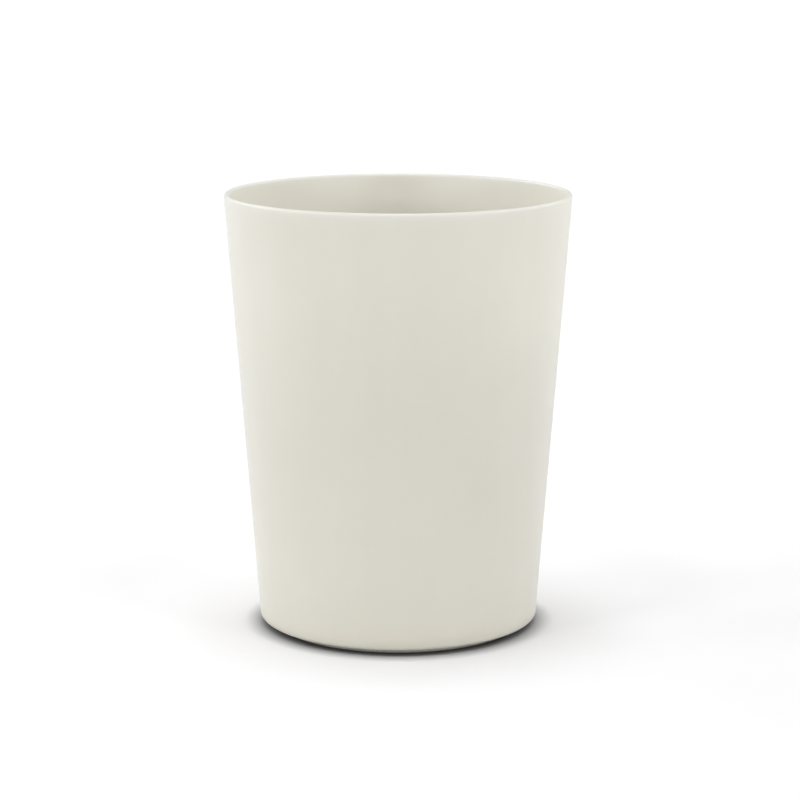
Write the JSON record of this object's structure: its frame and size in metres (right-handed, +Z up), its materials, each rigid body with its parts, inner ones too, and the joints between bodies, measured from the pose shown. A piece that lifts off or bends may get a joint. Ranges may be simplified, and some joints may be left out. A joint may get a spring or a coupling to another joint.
{
  "type": "reusable cup",
  "caption": "Plain tapered drinking cup moulded in one piece, with a rounded lip, a flat floor and a low foot ring set in under it.",
  "frame": {"origin": "where the cup's axis meets the surface it stands on", "axes": "+Z up along the axis, from the foot ring to the mouth; X and Y are alike, because the cup is round"},
  "size_m": [0.08, 0.08, 0.1012],
  "materials": {
    "cup_plastic": "satin"
  },
  "bodies": {
    "root": {"cup": "cup_plastic"}
  },
  "joints": []
}
